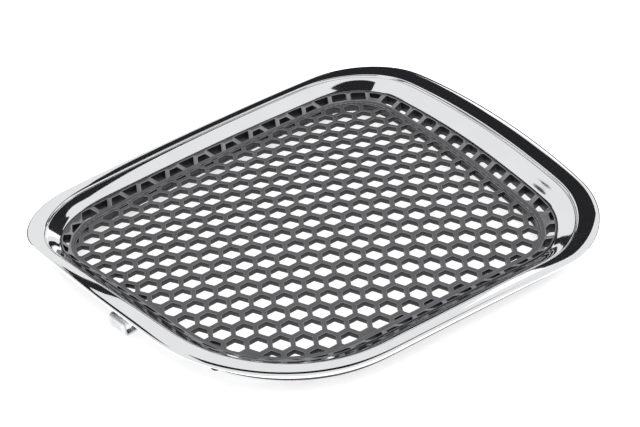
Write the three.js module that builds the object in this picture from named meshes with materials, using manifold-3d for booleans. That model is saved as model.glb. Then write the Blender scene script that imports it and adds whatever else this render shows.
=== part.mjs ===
// Front grille: a chrome surround with a honeycomb insert screwed in from behind.
// Millimetres, +Z is the front of the grille, which lies on its back.
import * as THREE from "three";
import { mergeVertices } from "three/addons/utils/BufferGeometryUtils.js";
import { ParametricGeometry } from "three/addons/geometries/ParametricGeometry.js";
import Module from "manifold-3d";

const wasm = await Module();
wasm.setup();

// ---------------------------------------------------------------- sizes
// Bow of the grille's face: height in terms of x and y, second and third order.
const BOW_XX = -1.286e-4;
const BOW_XY = 1.174e-4;
const BOW_YY = -5.494e-4;
const BOW_XXX = -1.58e-7;
const BOW_XXY = -4.08e-7;
const BOW_XYY = -0.79e-7;
const BOW_YYY = 1.05e-7;

// Three rounded outlines in plan. Each side is a straight line given by its distance from the
// origin and its slope; radii run top right, top left, bottom left, bottom right; swell is the
// extra crown of the sides in x and in y.
const FOLD_LINE = {
  top: [111.8, 0.011],
  right: [124.3, 0.013],
  bottom: [-110.3, -0.025],
  left: [-127.4, -0.124],
  radii: [34.3, 34.4, 76.7, 34.1],
  swell: [3.1, 2.6],
};
const CREASE_LINE = {
  top: [134.3, -0.003],
  right: [144.5, 0.002],
  bottom: [-131.1, -0.02],
  left: [-137.5, -0.122],
  radii: [52.5, 49.5, 94.5, 52.8],
  swell: [8.6, 0.7],
};
const OUTER_LINE = {
  top: [144.1, -0.012],
  right: [158.1, 0.005],
  bottom: [-142.2, -0.024],
  left: [-146.4, -0.086],
  radii: [53.9, 43.1, 101.7, 56.7],
  swell: [11.1, -1.1],
};
const SWELL_REACH_X = 166;
const SWELL_REACH_Y = 145;
const CORNER_STEPS = 8;
const SIDE_STEPS = 4;

// Sections across the rim. The first number is the place between the outlines: 0 is the fold
// line, 1 the crease and 2 the outer edge. The second is the height above the bowed face.
const SURROUND_SECTION = [
  [0.455, 5.2], [0.7, 8.2], [0.97, 11.2], [1.03, 11.7], [1.12, 12.6], [1.5, 13.7],
  [1.78, 14.05], [2.0, 12.4], [2.0, 11.6], [1.8, 11.5], [1.7, 11.7], [1.45, 11.4],
  [1.44, 4.6], [1.26, 4.6], [1.25, 10.6], [0.97, 8.5], [0.7, 5.6], [0.465, 2.8],
];
const CARRIER_SECTION = [
  [-0.06, 0.45], [0.045, 0.45], [0.405, 5.0], [0.43, 5.0], [0.43, -0.5], [0.93, -0.5],
  [0.93, -3.0], [0.36, -3.0], [0.12, -6.0], [-0.14, -6.0], [-0.14, -4.8], [-0.06, -4.8],
];
const UNDER_SKIN_SECTION = [
  [0.4, 4.0], [0.455, 4.0], [0.7, 6.9], [1.0, 9.9], [1.35, 12.4], [1.6, 12.4], [1.6, -6], [0.4, -6],
];
const SEAL_SECTION = [[1.48, 11.05], [1.69, 11.05], [1.72, 8.4], [1.48, 8.2]];

// Honeycomb
const FACE_THICKNESS = 4.1;
const COLUMN_PITCH = 12.0;
const ROW_PITCH = 15.2;
const CELL_HALF_WIDTH = 5.9;
const CELL_HALF_HEIGHT = 5.8;
const SMALLEST_CELL_AREA = 22;
const ZONE_HEIGHT = 60;
const PANEL_EDGE = -0.08;
const PANEL_CELLS_TO = -0.13;
const WALL_CELLS_FROM = 0.095;
const WALL_CELLS_TO = 0.37;

// Fasteners
const GAP = 0.3;
const BOSS_RADIUS = 3.5;
const PILOT_RADIUS = 1.8;
const PILOT_END = 5.6;
const BRACKET_PILOT_END = 10.5;
const SCREW_RADIUS = 1.5;
const SCREW_LENGTH = 7.8;
const HEAD_RADIUS = 3.6;
const HEAD_HEIGHT = 2.4;
const CLEARANCE_RADIUS = 1.9;
const INSERT_BOSS_PLACE = 0.7;
const INSERT_SCREWS = [
  [-80, 125], [-5, 125], [75, 125], [140, 62], [140, -45], [78, -125], [-12, -125],
  [-122, -72], [-140, 58],
];

// Body brackets. In their own frames x points outwards from the screw.
const BRACKET_PLACE = 1.3;
const BRACKET_BOSS_END = 3.0;
const BRACKET_THICKNESS = 1.6;
const BRACKET_WIDTH = 16;
const BRACKET_DROP = 10.5;
const BRACKET_INNER = -12.5;
const BRACKET_OUTER = 6.2;
const DRIVER_HOLE_RADIUS = 4.2;
const BODY_HOLE_X = -8.6;
const BODY_HOLE_RADIUS = 2.4;
const CLIP_THICKNESS = 0.8;
const CLIP_WIDTH = 10;
const BRACKETS = [
  ["left", -150, 0],
  ["right", 165, 8],
  ["top_left", -42, 148],
  ["top_right", 36, 148],
];

// Locating pins along the bottom edge
const PIN_PLACE = 1.04;
const PIN_RADIUS = 2.6;
const PIN_END = 3.5;
const PINS = [[-20, -138], [100, -138]];

// ---------------------------------------------------------------- outlines
function faceHeight(x, y) {
  const second = BOW_XX * x * x + BOW_XY * x * y + BOW_YY * y * y;
  const third = BOW_XXX * x * x * x + BOW_XXY * x * x * y + BOW_XYY * x * y * y + BOW_YYY * y * y * y;
  return second + third;
}

function faceNormal(x, y) {
  const step = 1;
  const slopeX = (faceHeight(x + step, y) - faceHeight(x - step, y)) / (2 * step);
  const slopeY = (faceHeight(x, y + step) - faceHeight(x, y - step)) / (2 * step);
  return new THREE.Vector3(-slopeX, -slopeY, 1).normalize();
}

function meetingPoint([levelAt, levelSlope], [uprightAt, uprightSlope]) {
  const y = (levelAt + levelSlope * uprightAt) / (1 - levelSlope * uprightSlope);
  return new THREE.Vector2(uprightAt + uprightSlope * y, y);
}

// A rounded four-sided outline, counter-clockwise, always with the same number of points.
function outlinePoints(line) {
  const corners = [
    meetingPoint(line.top, line.right),
    meetingPoint(line.top, line.left),
    meetingPoint(line.bottom, line.left),
    meetingPoint(line.bottom, line.right),
  ];
  const arcs = corners.map((corner, k) => {
    const back = corners[(k + 3) % 4].clone().sub(corner).normalize();
    const ahead = corners[(k + 1) % 4].clone().sub(corner).normalize();
    const half = Math.acos(back.dot(ahead)) / 2;
    const radius = line.radii[k];
    const centre = back.clone().add(ahead).normalize().multiplyScalar(radius / Math.sin(half)).add(corner);
    const start = back.clone().multiplyScalar(radius / Math.tan(half)).add(corner).sub(centre);
    const turn = Math.PI - 2 * half;
    return { centre, radius, from: start.angle(), turn };
  });
  const points = [];
  arcs.forEach((arc, k) => {
    for (let step = 0; step <= CORNER_STEPS; step += 1) {
      const angle = arc.from + (arc.turn * step) / CORNER_STEPS;
      const offset = new THREE.Vector2(Math.cos(angle), Math.sin(angle)).multiplyScalar(arc.radius);
      points.push(offset.add(arc.centre));
    }
    const last = points[points.length - 1];
    const next = arcs[(k + 1) % 4];
    const target = new THREE.Vector2(Math.cos(next.from), Math.sin(next.from));
    target.multiplyScalar(next.radius).add(next.centre);
    for (let step = 1; step < SIDE_STEPS; step += 1) {
      points.push(last.clone().lerp(target, step / SIDE_STEPS));
    }
  });
  const [swellX, swellY] = line.swell;
  return points.map(({ x, y }) => {
    const grownX = x + swellX * (x / SWELL_REACH_X) * (1 - (y / SWELL_REACH_Y) ** 2);
    const grownY = y + swellY * (y / SWELL_REACH_Y) * (1 - (x / SWELL_REACH_X) ** 2);
    return new THREE.Vector2(grownX, grownY);
  });
}

const foldOutline = outlinePoints(FOLD_LINE);
const creaseOutline = outlinePoints(CREASE_LINE);
const outerOutline = outlinePoints(OUTER_LINE);
const AROUND = foldOutline.length;

// The point of the rim at outline step i and place s, in plan.
function rimPlan(i, s) {
  const k = i % AROUND;
  if (s <= 1) {
    return foldOutline[k].clone().lerp(creaseOutline[k], s);
  }
  return creaseOutline[k].clone().lerp(outerOutline[k], s - 1);
}

function planOutline(s) {
  return Array.from({ length: AROUND }, (_, i) => rimPlan(i, s));
}

// ---------------------------------------------------------------- solids
function solid(geometry) {
  const bare = geometry.clone();
  bare.deleteAttribute("normal");
  bare.deleteAttribute("uv");
  const merged = mergeVertices(bare, 1e-4);
  const corners = merged.index.array;
  const kept = [];
  for (let t = 0; t < corners.length; t += 3) {
    const [a, b, c] = [corners[t], corners[t + 1], corners[t + 2]];
    if (a !== b && b !== c && c !== a) {
      kept.push(a, b, c);
    }
  }
  const mesh = new wasm.Mesh({
    numProp: 3,
    vertProperties: Float32Array.from(merged.attributes.position.array),
    triVerts: Uint32Array.from(kept),
  });
  return new wasm.Manifold(mesh);
}

function toGeometry(manifold) {
  const mesh = manifold.getMesh();
  const geometry = new THREE.BufferGeometry();
  const places = new Float32Array((mesh.vertProperties.length / mesh.numProp) * 3);
  for (let v = 0; v < places.length / 3; v += 1) {
    for (let axis = 0; axis < 3; axis += 1) {
      places[3 * v + axis] = mesh.vertProperties[v * mesh.numProp + axis];
    }
  }
  geometry.setAttribute("position", new THREE.BufferAttribute(places, 3));
  geometry.setIndex(Array.from(mesh.triVerts));
  geometry.computeVertexNormals();
  return geometry;
}

// A closed band that follows the rim, with the given section.
function rimBand(section) {
  const steps = section.length;
  const place = (u, v, target) => {
    const i = Math.round((1 - u) * AROUND) % AROUND;
    const [s, h] = section[Math.round(v * steps) % steps];
    const { x, y } = rimPlan(i, s);
    target.set(x, y, faceHeight(x, y) + h);
  };
  return solid(new ParametricGeometry(place, AROUND, steps));
}

// An upright block over the area inside an outline.
function uprightBlock(points, low, high) {
  const shape = new THREE.Shape(points);
  const block = new THREE.ExtrudeGeometry(shape, { depth: high - low, bevelEnabled: false });
  block.translate(0, 0, low);
  return solid(block);
}

function uprightCylinder(radius, low, high, sides = 10) {
  const cylinder = new THREE.CylinderGeometry(radius, radius, high - low, sides);
  cylinder.rotateX(Math.PI / 2);
  cylinder.translate(0, 0, (low + high) / 2);
  return cylinder;
}

function box(x0, x1, y0, y1, z0, z1) {
  const block = new THREE.BoxGeometry(x1 - x0, y1 - y0, z1 - z0);
  block.translate((x0 + x1) / 2, (y0 + y1) / 2, (z0 + z1) / 2);
  return block;
}

// The frame of a fastener at a place on the rim nearest to (x, y): +Z is square to the bowed
// face, or straight up, and +X points outwards, away from the middle of the grille.
function rimFrame(nearX, nearY, s, straightUp = false) {
  const target = new THREE.Vector2(nearX, nearY);
  const outline = planOutline(s);
  let best = { distance: Infinity };
  outline.forEach((point, i) => {
    const next = outline[(i + 1) % AROUND];
    for (let share = 0; share < 1; share += 0.1) {
      const here = point.clone().lerp(next, share);
      const distance = here.distanceTo(target);
      if (distance < best.distance) {
        const along = next.clone().sub(point).normalize();
        best = { distance, here, along };
      }
    }
  });
  const { x, y } = best.here;
  const up = straightUp ? new THREE.Vector3(0, 0, 1) : faceNormal(x, y);
  const out = new THREE.Vector3(best.along.y, -best.along.x, 0);
  const side = up.clone().cross(out).normalize();
  out.copy(side).cross(up).normalize();
  const frame = new THREE.Matrix4().makeBasis(out, side, up);
  frame.setPosition(x, y, faceHeight(x, y));
  return frame;
}

function placed(geometry, frame) {
  return solid(geometry.clone().applyMatrix4(frame));
}

const insertFrames = INSERT_SCREWS.map(([x, y]) => rimFrame(x, y, INSERT_BOSS_PLACE));
const bracketFrames = BRACKETS.map(([, x, y]) => rimFrame(x, y, BRACKET_PLACE));
const pinFrames = PINS.map(([x, y]) => rimFrame(x, y, PIN_PLACE, true));

// ---------------------------------------------------------------- chrome surround
const BOSS_FOOT = -0.5 + GAP;

function makeSurround() {
  const underSkin = rimBand(UNDER_SKIN_SECTION);
  const boss = (frame, radius, low) =>
    placed(uprightCylinder(radius, low, 20), frame).intersect(underSkin);
  let surround = rimBand(SURROUND_SECTION);
  insertFrames.forEach((frame) => {
    surround = surround.add(boss(frame, BOSS_RADIUS, BOSS_FOOT));
    surround = surround.subtract(placed(uprightCylinder(PILOT_RADIUS, -5, PILOT_END), frame));
  });
  bracketFrames.forEach((frame) => {
    surround = surround.add(boss(frame, BOSS_RADIUS, BRACKET_BOSS_END));
    surround = surround.subtract(placed(uprightCylinder(PILOT_RADIUS, 0, BRACKET_PILOT_END), frame));
  });
  pinFrames.forEach((frame) => {
    surround = surround.add(boss(frame, PIN_RADIUS, PIN_END));
  });
  return surround;
}

// ---------------------------------------------------------------- honeycomb panel and carrier
function makeBowedPlate() {
  const wide = 280;
  const deep = 250;
  const plate = new THREE.BoxGeometry(wide, deep, FACE_THICKNESS, 4, 6, 1);
  const place = plate.attributes.position;
  for (let v = 0; v < place.count; v += 1) {
    const [x, y, z] = [place.getX(v), place.getY(v), place.getZ(v)];
    place.setZ(v, z - FACE_THICKNESS / 2 + faceHeight(x, y));
  }
  return solid(plate);
}

function cellCentres() {
  const centres = [];
  for (let column = -14; column <= 14; column += 1) {
    const lift = column % 2 === 0 ? 0 : ROW_PITCH / 2;
    for (let row = -10; row <= 10; row += 1) {
      centres.push([column * COLUMN_PITCH, row * ROW_PITCH + lift]);
    }
  }
  return centres;
}

function cellCutter(x, y) {
  const cutter = new THREE.CylinderGeometry(1, 1, 80, 6);
  cutter.rotateX(Math.PI / 2);
  cutter.rotateZ(Math.PI / 6);
  cutter.scale(CELL_HALF_WIDTH, CELL_HALF_HEIGHT / Math.cos(Math.PI / 6), 1);
  cutter.translate(x, y, 0);
  return solid(cutter);
}

// The cells inside a zone, clipped to it. The smallest leftovers stay solid.
function cellsIn(zone) {
  const cells = [];
  cellCentres().forEach(([x, y]) => {
    const clipped = cellCutter(x, y).intersect(zone);
    if (!clipped.isEmpty() && clipped.volume() / ZONE_HEIGHT > SMALLEST_CELL_AREA) {
      cells.push(clipped);
    }
  });
  return wasm.Manifold.union(cells);
}

function makePanel() {
  const half = ZONE_HEIGHT / 2;
  const panel = makeBowedPlate().intersect(uprightBlock(planOutline(PANEL_EDGE), -half, half));
  return panel.subtract(cellsIn(uprightBlock(planOutline(PANEL_CELLS_TO), -half, half)));
}

function makeCarrier() {
  const half = ZONE_HEIGHT / 2;
  const inside = uprightBlock(planOutline(WALL_CELLS_FROM), -half - 5, half + 5);
  const wallZone = uprightBlock(planOutline(WALL_CELLS_TO), -half, half).subtract(inside);
  let carrier = rimBand(CARRIER_SECTION).subtract(cellsIn(wallZone));
  insertFrames.forEach((frame) => {
    carrier = carrier.subtract(placed(uprightCylinder(CLEARANCE_RADIUS, -6, 2), frame));
  });
  return carrier;
}

// ---------------------------------------------------------------- screws, brackets, clips, seals
function screwGeometry(headTop) {
  const low = headTop - HEAD_HEIGHT;
  const top = headTop + SCREW_LENGTH;
  const profile = [
    [0, low + 1.2], [1.1, low + 1.2], [1.1, low], [3.0, low], [HEAD_RADIUS, low + 1.3],
    [HEAD_RADIUS, headTop], [SCREW_RADIUS, headTop], [SCREW_RADIUS, top - 1.5], [0, top],
  ];
  const lathe = new THREE.LatheGeometry(profile.map(([r, z]) => new THREE.Vector2(r, z)), 10);
  lathe.rotateX(Math.PI / 2);
  return toGeometry(solid(lathe));
}

const BRACKET_TOP = BRACKET_BOSS_END - GAP;
const FOOT_LOW = BRACKET_TOP - BRACKET_DROP;
const FOOT_HIGH = FOOT_LOW + BRACKET_THICKNESS;

function bracketSolid() {
  const half = BRACKET_WIDTH / 2;
  const web = BRACKET_OUTER - BRACKET_THICKNESS;
  const plateLow = BRACKET_TOP - BRACKET_THICKNESS;
  const seat = box(-BOSS_RADIUS - 0.2, BRACKET_OUTER, -half, half, plateLow, BRACKET_TOP);
  const drop = box(web, BRACKET_OUTER, -half, half, FOOT_LOW, BRACKET_TOP);
  const foot = box(BRACKET_INNER, BRACKET_OUTER, -half, half, FOOT_LOW, FOOT_HIGH);
  const bodyHole = uprightCylinder(BODY_HOLE_RADIUS, FOOT_LOW - 1, FOOT_HIGH + 1);
  bodyHole.translate(BODY_HOLE_X, 0, 0);
  return solid(seat)
    .add(solid(drop))
    .add(solid(foot))
    .subtract(solid(uprightCylinder(CLEARANCE_RADIUS, plateLow - 1, BRACKET_TOP + 1)))
    .subtract(solid(uprightCylinder(DRIVER_HOLE_RADIUS, FOOT_LOW - 1, FOOT_HIGH + 1)))
    .subtract(solid(bodyHole));
}

// A spring nut pushed over the inner end of the bracket's foot, with a short threaded collar.
function clipSolid() {
  const half = CLIP_WIDTH / 2;
  const back = BRACKET_INNER - GAP;
  const low = FOOT_LOW - GAP;
  const high = FOOT_HIGH + GAP;
  const t = CLIP_THICKNESS;
  const collar = uprightCylinder(3.3, high, high + 2);
  const thread = uprightCylinder(1.9, low - 2, high + 4);
  collar.translate(BODY_HOLE_X, 0, 0);
  thread.translate(BODY_HOLE_X, 0, 0);
  return solid(box(back - t, -4.9, -half, half, high, high + t))
    .add(solid(box(back - t, back, -half, half, low - t, high + t)))
    .add(solid(box(back - t, -5.4, -half, half, low - t, low)))
    .add(solid(collar))
    .subtract(solid(thread));
}

// Foam strips under the outer lip, each between its neighbours' screw bosses.
function makeSeals() {
  const band = rimBand(SEAL_SECTION);
  const far = 400;
  const zones = {
    seal_top: box(-34, 28, 0, far, -60, 60),
    seal_right: box(0, far, -80, 2, -60, 60),
    seal_bottom: box(-50, 100, -far, 0, -60, 60),
    seal_left: box(-far, 0, 6, 85, -60, 60),
  };
  return Object.entries(zones).map(([name, zone]) => [name, band.intersect(solid(zone))]);
}

// ---------------------------------------------------------------- scene
const chrome = new THREE.MeshStandardMaterial({ color: 0xe8e9ec, roughness: 0.06, metalness: 1.0 });
const darkPlastic = new THREE.MeshStandardMaterial({ color: 0x4c4d50, roughness: 0.45, metalness: 0.1 });
const zincSteel = new THREE.MeshStandardMaterial({ color: 0xb9bcc0, roughness: 0.35, metalness: 0.9 });
const blackScrew = new THREE.MeshStandardMaterial({ color: 0x232426, roughness: 0.4, metalness: 0.8 });
const foam = new THREE.MeshStandardMaterial({ color: 0x1b1b1c, roughness: 0.95, metalness: 0.0 });

const grille = new THREE.Group();

function addPiece(name, geometry, material, frame) {
  const mesh = new THREE.Mesh(geometry, material);
  mesh.name = name;
  if (frame) {
    mesh.applyMatrix4(frame);
  }
  grille.add(mesh);
}

addPiece("chrome_surround", toGeometry(makeSurround()), chrome);
addPiece("honeycomb_panel", toGeometry(makePanel()), darkPlastic);
addPiece("panel_carrier", toGeometry(makeCarrier()), darkPlastic);

const insertScrew = screwGeometry(-3.0 - GAP);
insertFrames.forEach((frame, i) => {
  addPiece(`insert_screw_${i + 1}`, insertScrew, blackScrew, frame);
});

const bracketBody = toGeometry(bracketSolid());
const bracketScrew = screwGeometry(BRACKET_TOP - BRACKET_THICKNESS - GAP);
const springClip = toGeometry(clipSolid());
BRACKETS.forEach(([side], i) => {
  addPiece(`bracket_${side}`, bracketBody, zincSteel, bracketFrames[i]);
  addPiece(`bracket_screw_${side}`, bracketScrew, blackScrew, bracketFrames[i]);
  addPiece(`spring_clip_${side}`, springClip, zincSteel, bracketFrames[i]);
});

makeSeals().forEach(([name, seal]) => addPiece(name, toGeometry(seal), foam));

// The origin is at the middle of the bottom of the whole grille.
grille.updateMatrixWorld(true);
const bounds = new THREE.Box3().setFromObject(grille, true);
const middle = bounds.getCenter(new THREE.Vector3());
grille.position.set(-middle.x, -middle.y, -bounds.min.z);

export default grille;
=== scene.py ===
"""A car's front grille: a chrome surround with a honeycomb insert screwed in from behind."""
import math

import bpy
import bmesh
import numpy as np
from bpy.props import FloatProperty, FloatVectorProperty, PointerProperty
from mathutils import Matrix, Quaternion, Vector
from mathutils.bvhtree import BVHTree
from mathutils.geometry import delaunay_2d_cdt


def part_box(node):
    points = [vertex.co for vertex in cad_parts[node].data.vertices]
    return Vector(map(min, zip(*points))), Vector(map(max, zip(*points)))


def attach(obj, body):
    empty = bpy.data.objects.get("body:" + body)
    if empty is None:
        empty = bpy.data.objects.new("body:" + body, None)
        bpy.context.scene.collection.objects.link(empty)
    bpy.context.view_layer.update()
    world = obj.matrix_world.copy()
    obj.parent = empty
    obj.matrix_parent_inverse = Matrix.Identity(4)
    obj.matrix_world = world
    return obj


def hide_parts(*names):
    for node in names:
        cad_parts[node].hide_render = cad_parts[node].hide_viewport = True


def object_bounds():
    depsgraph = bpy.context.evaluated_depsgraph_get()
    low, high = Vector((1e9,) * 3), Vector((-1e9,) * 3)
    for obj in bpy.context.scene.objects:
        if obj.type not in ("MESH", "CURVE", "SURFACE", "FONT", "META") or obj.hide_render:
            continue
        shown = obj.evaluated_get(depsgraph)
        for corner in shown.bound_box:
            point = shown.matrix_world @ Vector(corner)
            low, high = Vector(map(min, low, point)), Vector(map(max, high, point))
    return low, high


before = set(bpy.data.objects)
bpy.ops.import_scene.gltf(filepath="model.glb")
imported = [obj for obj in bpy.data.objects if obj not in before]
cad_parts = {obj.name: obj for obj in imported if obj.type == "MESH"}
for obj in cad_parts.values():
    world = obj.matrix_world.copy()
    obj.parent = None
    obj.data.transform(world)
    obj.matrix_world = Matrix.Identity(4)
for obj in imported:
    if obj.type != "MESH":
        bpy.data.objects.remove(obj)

bl_info = {
    "name": "Front Grille",
    "version": (1, 0, 0),
    "blender": (4, 5, 0),
    "location": "3D View > Sidebar > Grille",
    "description": "Builds a chrome car grille with its honeycomb insert, fasteners and studio",
    "category": "Add Mesh",
}

CAD_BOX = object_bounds()

# ---------------------------------------------------------------- sizes, in millimetres
MM = 0.001
# Where the middle of the face lies in the part's frame.
FACE_ORIGIN = np.array([-4.113, -0.471, 19.802])

# Bow of the face: height in terms of x and y, second and third order.
BOW_XX, BOW_XY, BOW_YY = -1.286e-4, 1.174e-4, -5.494e-4
BOW_XXX, BOW_XXY, BOW_XYY, BOW_YYY = -1.58e-7, -4.08e-7, -0.79e-7, 1.05e-7

# Three rounded outlines in plan. Each side is a straight line given by its distance from the
# middle and its slope; radii run top right, top left, bottom left, bottom right.
FOLD_LINE = {
    "top": (111.8, 0.011), "right": (124.3, 0.013), "bottom": (-110.3, -0.025),
    "left": (-127.4, -0.124), "radii": (34.3, 34.4, 76.7, 34.1), "swell": (3.1, 2.6),
}
CREASE_LINE = {
    "top": (134.3, -0.003), "right": (144.5, 0.002), "bottom": (-131.1, -0.02),
    "left": (-137.5, -0.122), "radii": (52.5, 49.5, 94.5, 52.8), "swell": (8.6, 0.7),
}
OUTER_LINE = {
    "top": (144.1, -0.012), "right": (158.1, 0.005), "bottom": (-142.2, -0.024),
    "left": (-146.4, -0.086), "radii": (53.9, 43.1, 101.7, 56.7), "swell": (11.1, -1.1),
}
SWELL_REACH = (166, 145)
CORNER_STEPS = 28
SIDE_STEPS = 40
EVENING_SPREAD = 1.8
EVENING_REACH = 6
SEARCH_SPAN = (-0.5, 1.0)
SEARCH_STEPS = 14

# Stretches of the surround's section, each a smooth curve, joined at corners. The first number
# is the place between the outlines: 0 fold, 1 crease, 2 outer edge. The second is the height.
SURROUND_STRETCHES = (
    ((0.465, 2.95), (0.457, 3.3), (0.457, 4.9), (0.465, 5.25), (0.5, 5.75), (0.6, 6.95),
     (0.75, 8.8), (0.88, 10.3), (0.95, 11.0), (0.972, 11.1)),
    ((0.972, 11.1), (0.985, 10.95), (1.0, 11.05)),
    ((1.0, 11.05), (1.015, 11.5), (1.045, 12.15), (1.1, 12.55), (1.25, 12.98), (1.42, 13.4),
     (1.58, 13.75), (1.72, 13.95), (1.81, 13.9), (1.88, 13.6), (1.94, 13.1), (1.975, 12.6),
     (1.985, 12.2), (1.97, 11.85), (1.93, 11.7), (1.86, 11.65)),
    ((1.86, 11.65), (1.8, 11.68), (1.7, 11.72), (1.6, 11.6), (1.5, 11.4)),
    ((1.5, 11.4), (1.45, 11.2), (1.44, 10.6), (1.44, 4.9)),
    ((1.44, 4.9), (1.43, 4.68), (1.35, 4.6), (1.27, 4.68), (1.26, 4.9)),
    ((1.26, 4.9), (1.25, 9.6), (1.22, 10.4), (1.12, 9.7), (0.97, 8.5), (0.7, 5.6), (0.465, 2.95)),
)
MIDDLE_OF_SKIN = (
    (0.4, 3.9), (0.7, 6.9), (1.0, 9.9), (1.12, 11.2), (1.35, 12.6), (1.7, 12.6), (2.2, 12.2),
)
BOSS_LIMIT = (1.64, 12.6)
CURVE_STEPS = 5
# A rounded edge's steps: how far in from the edge and how deep, as shares of the rounding.
ROUND_STEPS = ((0.62, 0.08), (0.29, 0.29), (0.08, 0.62), (0.0, 1.0))

# The carrier's upper and lower faces, by place.
CARRIER_TOP = (
    (-0.14, -4.8), (-0.061, -4.8), (-0.06, 0.25), (-0.05, 0.45), (0.03, 0.45), (0.05, 0.53),
    (0.075, 0.78), (0.405, 5.0), (0.42, 5.0), (0.43, 4.8), (0.431, -0.5), (0.93, -0.5),
)
CARRIER_BOTTOM = ((-0.14, -6.0), (0.12, -6.0), (0.36, -3.0), (0.93, -3.0))
CARRIER_EDGES = (-0.14, 0.93)

# Honeycomb
FACE_THICKNESS = 4.1
COLUMN_PITCH = 12.0
ROW_PITCH = 15.2
CELL_HALF_WIDTH = 6.3
CELL_HALF_HEIGHT = 5.8
CELL_COLUMNS = range(-14, 15)
CELL_ROWS = range(-10, 11)
SMALLEST_CELL_AREA = 9
SHORTEST_CELL_SIDE = 0.35
# The most of a cell's side that one rounded corner takes.
CORNER_SHARE = 0.35
PANEL_EDGE = -0.072
PANEL_RIM = 0.9
PANEL_EDGE_ROUNDING = 0.25
WALL_CELLS = (0.075, 0.405)
WALL_RIM = 0.55
WALL_ROUNDING_SHARE = 0.4

# Fasteners
GAP = 0.3
BOSS_RADIUS = 3.5
# The rounded edge at a boss's foot: how far in from its side and how high above the foot.
BOSS_EDGE = ((0, 0.5), (0.15, 0.12), (0.5, 0))
PILOT_RADIUS = 1.8
PILOT_CHAMFER = 0.25
PILOT_END = 5.6
INSERT_BOSS_PLACE = 0.7
INSERT_BOSS_FOOT = -0.2
INSERT_HEAD_TOP = -3.3
INSERT_SCREWS = 9
SCREW_LENGTH = 7.8
HEAD_RADIUS = 3.6
HEAD_HEIGHT = 2.4
SCREW_SIDES = 48
SOCKET_LOBES = 6
SOCKET_DEPTH = 1.2
THREAD_CORE = 1.2
THREAD_CREST = 1.5
THREAD_PITCH = 0.85
BRACKET_SIDES = ("left", "right", "top_left", "top_right")
BRACKET_PLACE = 1.3
BRACKET_BOSS_FOOT = 3.0
BRACKET_PILOT_END = 10.5
BRACKET_THICKNESS = 1.6
BRACKET_WIDTH = 16
BRACKET_TOP = 2.7
BRACKET_DROP = 10.5
BRACKET_INNER = -12.5
BRACKET_OUTER = 6.2
BRACKET_BEND = 1.8
BRACKET_CORNER = 2.0
BRACKET_SCREW_HOLE = PILOT_RADIUS + 0.1
DRIVER_HOLE = 4.2
BODY_HOLE = 2.4
BODY_HOLE_X = -8.6
CLIP_THICKNESS = 0.8
CLIP_WIDTH = 10
CLIP_BEND = 0.9
CLIP_CORNER = 1.2
CLIP_HOLE = 1.9
CLIP_ENDS = (-4.9, -5.4)
CLIP_ROUNDING = 0.2
COLLAR = ((3.3, 0), (3.0, 0.4), (2.8, 1.9), (2.6, 2.05), (2.1, 2.05))
COLLAR_THREAD_STEPS = 7
COLLAR_THREAD_STEP = 0.3
COLLAR_THREAD_DEPTH = 0.18
PIN_PLACE = 1.04
PIN_RADIUS = 2.6
PIN_FOOT = 3.55
PINS = ((-20, -138), (100, -138))

# Foam strips
SEAL_SECTION = (
    (1.49, 11.0), (1.66, 11.0), (1.685, 10.7), (1.71, 8.7), (1.69, 8.45), (1.52, 8.3), (1.485, 8.5),
)
SEALS = ("seal_top", "seal_right", "seal_bottom", "seal_left")
SEAL_PLACE = 1.58
SEAL_MARGIN = 0.5


def length_property(name, description, default, low, high):
    return FloatProperty(
        name=name, description=description, default=default, min=low, max=high, precision=5,
        subtype="DISTANCE", unit="LENGTH",
    )


def colour_property(name, description, default):
    return FloatVectorProperty(
        name=name, description=description, default=default, min=0, max=1, subtype="COLOR",
    )


class GrilleSizes(bpy.types.PropertyGroup):
    """Sizes that can be changed without touching the grille's overall shape."""

    cell_rounding: length_property(
        "Cell edge", "Rounding of the moulded edges round each cell", 0.00042, 0.00005, 0.001
    )
    cell_corner: length_property(
        "Cell corner", "Length of edge taken by each rounded corner of a cell", 0.00045, 0.0001, 0.002
    )
    metal_rounding: length_property(
        "Bracket edge", "Rounding of the brackets' pressed edges", 0.00025, 0.00005, 0.0006
    )


class GrilleColours(bpy.types.PropertyGroup):
    """Colours of the grille's materials."""

    chrome: colour_property("Chrome", "Colour of the plating", (0.9, 0.905, 0.915))
    plastic: colour_property("Plastic", "Colour of the insert", (0.062, 0.062, 0.066))
    zinc: colour_property("Zinc", "Colour of the brackets and clips", (0.62, 0.63, 0.64))
    screw: colour_property("Screw", "Colour of the screws' coating", (0.018, 0.018, 0.02))
    foam: colour_property("Foam", "Colour of the seals", (0.012, 0.012, 0.013))


class GrilleStage(bpy.types.PropertyGroup):
    """Floor and light of the studio."""

    floor: colour_property("Floor", "Colour of the floor", (0.8, 0.8, 0.805))
    surroundings: FloatProperty(
        name="Surroundings", description="Brightness of the room's pale walls",
        default=0.86, min=0, max=5,
    )
    key_power: FloatProperty(
        name="Key light", description="Power of the large light above the grille",
        default=14.0, min=0, max=200, subtype="POWER", unit="POWER",
    )


# ---------------------------------------------------------------- face and outlines
def face_height(x, y):
    second = BOW_XX * x * x + BOW_XY * x * y + BOW_YY * y * y
    return second + BOW_XXX * x**3 + BOW_XXY * x * x * y + BOW_XYY * x * y * y + BOW_YYY * y**3


def face_normal(x, y):
    slope_x = (face_height(x + 1, y) - face_height(x - 1, y)) / 2
    slope_y = (face_height(x, y + 1) - face_height(x, y - 1)) / 2
    return Vector((-slope_x, -slope_y, 1)).normalized()


def unit(vector):
    return vector / np.linalg.norm(vector, axis=-1, keepdims=True)


def meeting_point(level, upright):
    y = (level[0] + level[1] * upright[0]) / (1 - level[1] * upright[1])
    return np.array([upright[0] + upright[1] * y, y])


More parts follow.
